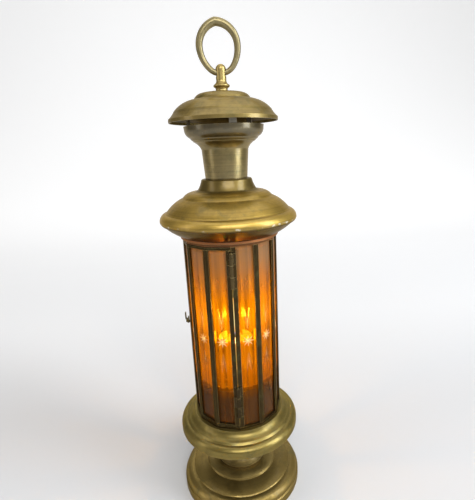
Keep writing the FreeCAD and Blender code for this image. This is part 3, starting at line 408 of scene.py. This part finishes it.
def roof_marks_and_painted_light(finish, base):
    """Bright knocks along the rim, a painted highlight on the shoulder, painted shade on the collar and a
    copper-red skirt.
    """
    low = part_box("roof")[0].z
    skirt, rim, shoulder, collar = low + 0.0080, low + 0.0174, low + 0.0215, low + 0.04525
    knocks = finish.step(finish.noise(finish.place, 150.0, 4.0, 0.6), 0.56, 0.66)
    on_rim = finish.band(finish.z, rim, 0.0006, 0.0006)
    shoulder_highlight = finish.band(finish.z, shoulder, 0.0010, 0.0030)
    collar_shade = finish.step(finish.z, collar - 0.00075, collar + 0.00075)
    on_skirt = 1 - finish.step(finish.z, skirt - 0.001, skirt + 0.001)
    base = finish.mix(on_rim * knocks * 0.9, base, (0.86, 0.80, 0.62))
    # Painted highlight: a bright band round the shoulder.
    base = finish.mix(shoulder_highlight * 0.45, base, (0.66, 0.45, 0.10))
    # Painted shade: the collar is darkened.
    base = finish.mix(collar_shade * 0.95, base, (0.165, 0.118, 0.034))
    return finish.mix(on_skirt * 0.9, base, (0.30, 0.095, 0.030))


def cup_marks(finish, base):
    """Grey smoke stain on the cup over the neck."""
    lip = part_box("chimney")[1].z
    cup_foot, cup_side = lip - 0.018, lip - 0.009
    on_cup = finish.step(finish.z, cup_foot, cup_side)
    smoke = on_cup * (0.35 + 0.4 * finish.noise(finish.place, 60.0, 4.0, 0.6))
    return finish.mix(smoke, base, (0.060, 0.056, 0.048))


def hinge_marks(finish, base):
    """Dark leaves beside the barrels of the hinges, and a dark lower hinge."""
    low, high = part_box("hinge_pins")
    barrel, leaf = 0.0021, 0.0025
    below, above = 0.20, 0.22
    leaves = finish.step(finish.reach((low.x + high.x) / 2, (low.y + high.y) / 2), barrel, leaf)
    lower = 1 - finish.step(finish.z, below, above)
    return finish.mix(finish.maths("MAXIMUM", leaves, lower) * 0.95, base, (0.04, 0.026, 0.009))


def select_none():
    if bpy.context.object and bpy.context.object.mode != "OBJECT":
        bpy.ops.object.mode_set(mode="OBJECT")
    bpy.ops.object.select_all(action="DESELECT")


def select_edges(piece, chosen):
    """Select, in edit mode, the edges whose two ends pass a test."""
    bpy.ops.object.mode_set(mode="EDIT")
    bpy.ops.mesh.select_mode(type="EDGE")
    bpy.ops.mesh.select_all(action="DESELECT")
    bpy.ops.object.mode_set(mode="OBJECT")
    for edge in piece.data.edges:
        edge.select = all(chosen(piece.data.vertices[end].co) for end in edge.vertices)
    bpy.ops.object.mode_set(mode="EDIT")


def drawn_up(name, profile, segments):
    """Closed round piece: a disc drawn up ring by ring through (radius, height) and closed on top."""
    select_none()
    first_radius, first_height = profile[0]
    bpy.ops.mesh.primitive_circle_add(
        vertices=segments, radius=first_radius, fill_type="TRIFAN", location=(0, 0, first_height))
    piece = bpy.context.object
    piece.name = piece.data.name = name
    bpy.ops.object.transform_apply(location=True, rotation=True, scale=True)
    bpy.ops.object.mode_set(mode="EDIT")
    bpy.ops.mesh.select_all(action="SELECT")
    for (radius, height), (next_radius, next_height) in zip(profile, profile[1:]):
        bpy.ops.mesh.extrude_region_move(TRANSFORM_OT_translate={"value": (0, 0, next_height - height)})
        share = next_radius / radius
        bpy.ops.transform.resize(value=(share, share, 1), center_override=(0, 0, next_height))
    bpy.ops.mesh.select_all(action="SELECT")
    bpy.ops.mesh.normals_make_consistent(inside=False)
    bpy.ops.object.mode_set(mode="OBJECT")
    return piece


def smooth_subdivided(piece, levels):
    select_none()
    piece.select_set(True)
    bpy.context.view_layer.objects.active = piece
    modifier = piece.modifiers.new("Smooth", "SUBSURF")
    modifier.levels = modifier.render_levels = levels
    bpy.ops.object.modifier_apply(modifier=modifier.name)
    bpy.ops.object.shade_smooth()


class LANTERN_OT_spun_brass(bpy.types.Operator):
    """Finish the spun and turned brass: foot, stem, gallery, roof, chimney, cap, finial and ring"""

    bl_idname = "lantern.spun_brass"
    bl_label = "Spun Brass"

    def execute(self, context):
        foot = aged_brass("foot_brass", (0.30, 0.208, 0.056), 0.8, 1.0, rough=0.33, marks=foot_shade_and_highlight)
        stem = aged_brass("stem_brass", (0.150, 0.105, 0.033), 0.4, 1.0)
        gallery = aged_brass("gallery_brass", (0.25, 0.190, 0.050), 0.7, 0.9, rough=0.34, soot_and_shade=0.8)
        roof = aged_brass("roof_brass", (0.46, 0.30, 0.058), 0.6, 0.8, rough=0.38, soot_and_shade=0.92, film=0.12,
                          marks=roof_marks_and_painted_light)
        chimney = aged_brass("chimney_brass", (0.28, 0.214, 0.080), 0.4, 0.9, rough=0.31, film=0.28,
                             marks=cup_marks)
        cap = aged_brass("cap_brass", (0.29, 0.212, 0.066), 0.5, 0.9, soot_and_shade=0.95, film=0.15)
        strap = aged_brass("strap_brass", (0.36, 0.33, 0.27), 0.4, 0.8)
        ring = aged_brass("ring_brass", (0.32, 0.27, 0.14), 0.6, 0.6, turned=False, rough=0.38)
        finial = aged_brass("finial_brass", (0.50, 0.38, 0.14), 0.6, 0.6, rough=0.38)
        plain = aged_brass("plain_brass", (0.40, 0.30, 0.11), 0.4, 0.5)
        assign(foot, "foot", "base_plate")
        assign(stem, "stem")
        assign(gallery, "gallery")
        assign(roof, "roof")
        assign(chimney, "chimney")
        assign(cap, "cap", "cap_spacer")
        assign(strap, "cap_spider")
        assign(ring, "hanging_ring")
        assign(finial, "finial")
        assign(plain, "foot_nut", "foot_washer", "tie_rod", "finial_nut", "roof_seat")
        return {"FINISHED"}


class LANTERN_OT_frame(bpy.types.Operator):
    """Finish the dark frame: bars, rails, jambs, door, hinges and latch"""

    bl_idname = "lantern.frame"
    bl_label = "Frame and Door"

    def execute(self, context):
        bars = aged_brass("frame_brass", (0.020, 0.011, 0.004), 0.9, 1.0, turned=False, rough=0.30,
                          film=0.0, edge=0.7)
        hinges = aged_brass("hinge_brass", (0.085, 0.058, 0.024), 0.8, 0.8, turned=False, rough=0.2,
                            marks=hinge_marks)
        rail = aged_brass("rail_brass", (0.17, 0.052, 0.016), 0.4, 0.8, rough=0.4)
        metal = names_with("corner_bar_", "bottom_rail", "hinge_", "latch_", "keeper_", "door_")
        panes = names_with("door_pane_")
        assign(bars, *[name for name in metal if name not in panes])
        assign(hinges, "frame_knuckles", "door_knuckles", "hinge_pins")
        assign(rail, "top_rail")
        return {"FINISHED"}


class LANTERN_OT_panes(bpy.types.Operator):
    """Finish the panes: amber glass with upright streaks and pale cuts"""

    bl_idname = "lantern.panes"
    bl_label = "Amber Panes"

    def execute(self, context):
        glass = context.scene.lantern_glass
        finish = Finish("amber_glass")
        low, high = (corner.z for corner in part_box("pane_1"))
        star_height = (low + high) / 2
        angle = finish.maths("ARCTAN2", finish.y, finish.x)
        cut, pale = self.cuts(finish, glass, angle, star_height)
        drawn = finish.vector(angle * 0.05, 0.0, finish.z * 0.022)
        streaks = finish.noise(drawn, 1.0 / glass.streak_width, 2.5, 0.55)
        stain = finish.step(streaks, 0.36, 0.68)
        clouds = finish.noise(finish.place, 40.0, 4.0, 0.55)
        ripple = finish.noise(finish.vector(finish.x, finish.y, finish.z * 0.16), 90.0, 2.0, 0.5)
        ripples = finish.bump(ripple, 0.0003)
        body = self.clear(finish, glass, stain, clouds, cut * 0.05 + streaks * 0.03, ripples)
        body = self.glowing(finish, glass, body, stain, cut, star_height, ripples)
        ground = finish.add("BsdfTranslucent", {"Color": (*glass.cut, 1.0), "Normal": ripples})
        frost = finish.add("BsdfPrincipled", {"Base Color": (0.92, 0.84, 0.64, 1.0), "Roughness": 0.6})
        body = finish.blend(pale, body, finish.blend(0.6, ground, frost))
        body = self.hazy(finish, glass, body, clouds, high)
        passing = finish.add("BsdfTransparent", {"Color": (*between(glass.amber, glass.cut, 0.5), 1.0)})
        shadow = finish.add("LightPath", {}, "Is Shadow Ray")
        assign(finish.end(finish.blend(shadow, body, passing)), *names_with("pane_", "door_pane_"))
        return {"FINISHED"}

    def cuts(self, finish, glass, angle, star_height):
        """Masks of what is cut into the panes, and of how pale it is ground."""
        facet = (finish.maths("ROUND", angle / SIDE_ANGLE - 0.5) + 0.5) * SIDE_ANGLE
        outward = finish.vector(finish.maths("COSINE", facet), finish.maths("SINE", facet), 0.0)
        normal = finish.add("VectorTransform", {"Vector": finish.add("NewGeometry", {}, "True Normal")},
                            vector_type="NORMAL", convert_from="WORLD", convert_to="OBJECT")
        cut = 1 - finish.step(abs(finish.agreement(normal, outward)), 0.86, 0.91)
        star = finish.band(finish.z, star_height, 0.0068, 0.0010)
        sunk = self.face_distance() - finish.agreement(finish.place, outward)
        valleys = finish.creases(glass.cut_line, 0.008, 0.07) * finish.step(sunk, 0.0001, 0.0003)
        return cut, cut * (0.06 + star * 0.30 + valleys * (0.55 + 0.15 * star))

    @staticmethod
    def face_distance():
        """From the lantern's axis to the outer face of a pane."""
        low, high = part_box("pane_1")
        turn = (math.floor(math.atan2(low.y + high.y, low.x + high.x) / SIDE_ANGLE) + 0.5) * SIDE_ANGLE
        outward = Vector((math.cos(turn), math.sin(turn), 0.0))
        return max(vertex.co.dot(outward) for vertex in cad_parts["pane_1"].data.vertices)

    @staticmethod
    def clear(finish, glass, stain, clouds, roughness, ripples):
        """Stained glass: a part of it mirrors the room, and the rest only bends the light."""
        colour = finish.mix(stain, glass.amber, glass.smoked)
        colour = finish.mix(finish.step(clouds, 0.5, 0.8) * 0.35, colour, glass.smoked)
        glossy = finish.add("BsdfPrincipled", {
            "Base Color": colour, "Roughness": roughness, "IOR": GLASS_IOR, "Transmission Weight": 1.0,
            "Specular Tint": (0.5, 0.26, 0.06, 1.0), "Normal": ripples})
        # Light crosses two faces of a pane, so each takes the square root of the colour.
        plain, streaked = (
            finish.add("BsdfRefraction", {
                "Color": (*[part ** 0.5 for part in tint], 1.0), "Roughness": 0.015,
                "IOR": GLASS_IOR, "Normal": ripples})
            for tint in (glass.amber, glass.smoked))
        return finish.blend(0.65, glossy, finish.blend(stain, plain, streaked))

    @staticmethod
    def glowing(finish, glass, body, stain, cut, star_height, ripples):
        """Glow of the flame, with painted light: more glow in a band above the platform, less beside the
        stars.
        """
        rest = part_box("platform")[1].z
        glow_band_low, glow_band_high, glow_band_end = rest + 0.003, rest + 0.019, rest + 0.033
        over_platform = finish.step(finish.z, rest, glow_band_low)
        glow_band = over_platform * (1 - finish.step(finish.z, glow_band_high, glow_band_end))
        beside_star = finish.band(finish.z, star_height, 0.007, 0.014)
        amber = finish.add("BsdfTranslucent", {"Color": (*glass.glow, 1.0), "Normal": ripples})
        # Painted light: the glow's share rises in a band above the platform and falls beside the stars.
        body = finish.blend(0.17 - stain * 0.10 + glow_band * 0.08 - beside_star * 0.05, body, amber)
        blur = finish.add("BsdfRefraction", {"Color": (1.0, 0.50, 0.04, 1.0), "Roughness": 0.36,
                                             "IOR": GLASS_IOR})
        return finish.blend((0.09 - stain * 0.05) * (1 - cut), body, blur)

    @staticmethod
    def hazy(finish, glass, body, clouds, top):
        """Dust below the platform, and smoke under the roof that is partly a painted reflection of the room.
        """
        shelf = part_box("platform")[0].z
        dusty, dust_end = shelf - 0.014, shelf + 0.010
        smoke_start, smoky = top - 0.060, top - 0.004
        dust = (1 - finish.step(finish.z, dusty, dust_end)) * (0.04 + 0.06 * clouds)
        # Smoke film near the top, which also stands as a painted reflection of the room.
        smoke = finish.step(finish.z, smoke_start, smoky) * (0.28 + 0.25 * clouds)
        haze_and_reflection = finish.add("BsdfPrincipled", {"Base Color": (*glass.haze_and_reflection, 1.0), "Roughness": 0.5})
        return finish.blend(dust + smoke, body, haze_and_reflection)


class LANTERN_OT_candle(bpy.types.Operator):
    """Finish the candle and the brass that carries it"""

    bl_idname = "lantern.candle"
    bl_label = "Candle"

    def execute(self, context):
        inner = aged_brass("inner_brass", (0.60, 0.45, 0.20), 0.4, 0.5, rough=0.5)
        assign(inner, "platform", "platform_column", "candle_cup")
        assign(self.wax(context.scene.lantern_candle), "candle")
        assign(self.wick(), "wick")
        return {"FINISHED"}

    @staticmethod
    def wax(settings):
        """Cloudy wax, with painted warm light near the flame and a painted glow low down for light thrown
        back at it.
        """
        finish = Finish("wax")
        cloud = finish.noise(finish.place, 60.0, 5.0, 0.6)
        grain = finish.noise(finish.place, 900.0, 3.0, 0.6)
        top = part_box("candle")[1].z
        warm_from, lit_fully, lit_end = top - 0.018, top - 0.045, top - 0.012
        painted_flame_light = finish.step(finish.z, warm_from, top)
        # Painted glow low down, standing in for light thrown back at the candle.
        thrown_back = finish.mix(finish.step(finish.z, lit_fully, lit_end), (0.40, 0.16, 0.025), BLACK)
        colour = finish.mix(finish.step(cloud, 0.4, 0.7) * 0.4, settings.wax, (0.93, 0.85, 0.66))
        # Painted light: wax near the flame is warmed towards the flame's colour.
        colour = finish.mix(painted_flame_light * 0.35, colour, (1.0, 0.72, 0.34))
        return finish.end(finish.add("BsdfPrincipled", {
            "Base Color": colour, "Roughness": 0.38 + cloud * 0.2,
            "Subsurface Weight": 0.6, "Subsurface Scale": 0.008,
            "Emission Color": thrown_back, "Emission Strength": 1.0,
            "Normal": finish.bump(cloud * 0.7 + grain * 0.1, 0.0004)}))

    @staticmethod
    def wick():
        """Charred, twisted wick."""
        finish = Finish("wick")
        twist = finish.noise(finish.vector(finish.x, finish.y, finish.z * 0.4), 2600.0, 3.0, 0.6)
        return finish.end(finish.add("BsdfPrincipled", {
            "Base Color": finish.mix(twist, (0.012, 0.010, 0.009), (0.11, 0.085, 0.06)),
            "Roughness": 0.75 + twist * 0.2, "Normal": finish.bump(twist, 0.0003)}))


class LANTERN_OT_flame(bpy.types.Operator):
    """Model the candle's flame on the wick"""

    bl_idname = "lantern.flame"
    bl_label = "Flame"

    def execute(self, context):
        settings = context.scene.lantern_candle
        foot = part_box("wick")[1].z - WICK_IN_FLAME
        profile = [(settings.flame_radius * wide, foot + settings.flame_height * high)
                   for wide, high in FLAME_OUTLINE]
        flame = drawn_up("flame", profile, segments=20)
        smooth_subdivided(flame, levels=2)
        flame.visible_shadow = False
        flame.data.materials.append(self.burning(settings, foot))
        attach(flame, "candle")
        light = bpy.data.lights.new("flame_glow", "POINT")
        light.energy = settings.glow_power
        light.color = (1.0, 0.74, 0.38)
        light.shadow_soft_size = 0.004
        glow = bpy.data.objects.new("flame_glow", light)
        glow.location = (0, 0, foot + settings.flame_height * GLOW_SHARE)
        glow.parent = flame
        context.scene.collection.objects.link(glow)
        return {"FINISHED"}

    @staticmethod
    def burning(settings, foot):
        finish = Finish("flame")
        up = (finish.z - foot) / settings.flame_height
        heat = finish.add("ValToRGB", {"Fac": up}, "Color", stops=FLAME_COLOURS)
        return finish.end(finish.add("BsdfPrincipled", {
            "Base Color": (*BLACK, 1.0), "Roughness": 1.0,
            "Emission Color": heat, "Emission Strength": settings.flame_strength}))


class LANTERN_OT_stage(bpy.types.Operator):
    """Set the lantern on a pale floor in soft light, seen as in the photograph"""

    bl_idname = "lantern.stage"
    bl_label = "Stage"

    def execute(self, context):
        settings = context.scene.lantern_stage
        body, behind = (0.0, 0.0, 0.28), (0.0, 0.3, 0.0)
        lamps = (
            ("window", settings.key_power, (1.9, -0.84, 1.1), body, (0.9, 2.2), (0.90, 0.95, 1.0)),
            ("fill", settings.fill_power, (-2.1, -0.6, 1.1), body, (0.7, 2.2), (1.0, 0.95, 0.88)),
            ("front", settings.front_power, (0.25, -1.9, 1.7), body, (1.8, 1.0), (1.0, 0.99, 0.96)),
            ("overhead", settings.top_power, (0.1, 0.5, 2.7), behind, (3.0, 3.0), (1.0, 1.0, 1.0)),
        )
        self.sweep(settings)
        self.world(context, settings)
        for name, power, place, target, size, colour in lamps:
            self.lamp(context, name, power, place, target, size, colour)
        self.camera(context, settings)
        context.scene.view_settings.view_transform = "Standard"
        return {"FINISHED"}

    def sweep(self, settings):
        """Floor that curves up into a backdrop."""
        depth, middle = 6.0, 0.4
        rise, bend = 4.0, 2.2
        near = 1e-6
        select_none()
        bpy.ops.mesh.primitive_plane_add(size=depth, location=(0, middle, 0))
        sweep = bpy.context.object
        sweep.name = sweep.data.name = "sweep"
        bpy.ops.object.transform_apply(location=True, rotation=True, scale=True)
        back = max(vertex.co.y for vertex in sweep.data.vertices)
        select_edges(sweep, lambda end: abs(end.y - back) < near)
        bpy.ops.mesh.extrude_edges_move(TRANSFORM_OT_translate={"value": (0, 0, rise)})
        select_edges(sweep, lambda end: abs(end.y - back) < near and abs(end.z) < near)
        bpy.ops.mesh.bevel(offset=bend, segments=24, affect="EDGES")
        bpy.ops.object.mode_set(mode="OBJECT")
        bpy.ops.object.shade_smooth()
        sweep.data.materials.append(self.paper(settings))

    @staticmethod
    def paper(settings):
        """Matte paper with a glow towards the back, which the camera, metal and glass see."""
        finish = Finish("sweep")
        grain = finish.noise(finish.place, 3.0, 3.0, 0.5)
        matte = {"Base Color": finish.mix(grain * 0.06, settings.floor, (0.78, 0.78, 0.80)),
                 "Roughness": 1.0, "Specular IOR Level": 0.0}
        glow = finish.mix(finish.step(finish.y, 0.02, 0.5), BLACK, (0.17, 0.17, 0.168))
        glow = finish.mix(finish.step(finish.y, 0.1, 2.0), glow, (0.54, 0.54, 0.535))
        unlit = finish.add("BsdfPrincipled", matte)
        lit = finish.add("BsdfPrincipled", {**matte, "Emission Color": glow, "Emission Strength": 1.0})
        camera, glossy, passing = (finish.add("LightPath", {}, ray)
                                   for ray in ("Is Camera Ray", "Is Glossy Ray", "Is Transmission Ray"))
        seen = finish.maths("MINIMUM", camera + glossy + passing, 1.0)
        return finish.end(finish.blend(seen, unlit, lit))

    @staticmethod
    def world(context, settings):
        world = bpy.data.worlds.new("room")
        context.scene.world = world
        world.use_nodes = True
        background = world.node_tree.nodes["Background"]
        background.inputs["Color"].default_value = (*settings.room, 1.0)

    @staticmethod
    def lamp(context, name, power, place, target, size, colour):
        light = bpy.data.lights.new(name, "AREA")
        light.shape = "RECTANGLE"
        light.size, light.size_y = size
        light.energy = power
        light.color = colour
        lamp = bpy.data.objects.new(name, light)
        lamp.location = place
        lamp.rotation_euler = (Vector(target) - Vector(place)).to_track_quat("-Z", "Y").to_euler()
        context.scene.collection.objects.link(lamp)

    @staticmethod
    def camera(context, settings):
        forward = Vector((math.sin(settings.yaw) * math.cos(settings.pitch),
                          math.cos(settings.yaw) * math.cos(settings.pitch), -math.sin(settings.pitch)))
        level = Vector((math.cos(settings.yaw), -math.sin(settings.yaw), 0.0))
        upright = level.cross(forward)
        right = math.cos(settings.roll) * level + math.sin(settings.roll) * upright
        up = math.cos(settings.roll) * upright - math.sin(settings.roll) * level
        data = bpy.data.cameras.new("camera")
        data.sensor_width = 36.0
        data.lens = settings.lens
        data.shift_x = settings.shift_x
        data.shift_y = settings.shift_y
        camera = bpy.data.objects.new("camera", data)
        turn = Matrix((right, up, -forward)).transposed().to_4x4()
        camera.matrix_world = Matrix.Translation((0.0, -settings.distance, settings.height)) @ turn
        context.scene.collection.objects.link(camera)
        context.scene.camera = camera


class LANTERN_PT_panel(bpy.types.Panel):
    """Sidebar panel with the lantern's steps"""

    bl_idname = "LANTERN_PT_panel"
    bl_label = "Candle Lantern"
    bl_space_type = "VIEW_3D"
    bl_region_type = "UI"
    bl_category = "Lantern"

    def draw(self, context):
        for operator in OPERATORS:
            self.layout.operator(operator.bl_idname)


SETTINGS = {
    "lantern_brass": BrassSettings,
    "lantern_glass": GlassSettings,
    "lantern_candle": CandleSettings,
    "lantern_stage": StageSettings,
}
OPERATORS = (
    LANTERN_OT_spun_brass,
    LANTERN_OT_frame,
    LANTERN_OT_panes,
    LANTERN_OT_candle,
    LANTERN_OT_flame,
    LANTERN_OT_stage,
)


def register():
    for settings in SETTINGS.values():
        bpy.utils.register_class(settings)
    for operator in OPERATORS:
        bpy.utils.register_class(operator)
    bpy.utils.register_class(LANTERN_PT_panel)
    for name, settings in SETTINGS.items():
        setattr(bpy.types.Scene, name, bpy.props.PointerProperty(type=settings))


def unregister():
    for name in SETTINGS:
        delattr(bpy.types.Scene, name)
    bpy.utils.unregister_class(LANTERN_PT_panel)
    for operator in OPERATORS:
        bpy.utils.unregister_class(operator)
    for settings in SETTINGS.values():
        bpy.utils.unregister_class(settings)


def main():
    register()
    bpy.ops.lantern.spun_brass()
    bpy.ops.lantern.frame()
    bpy.ops.lantern.panes()
    bpy.ops.lantern.candle()
    bpy.ops.lantern.flame()
    bpy.ops.lantern.stage()


if __name__ == "__main__":
    main()
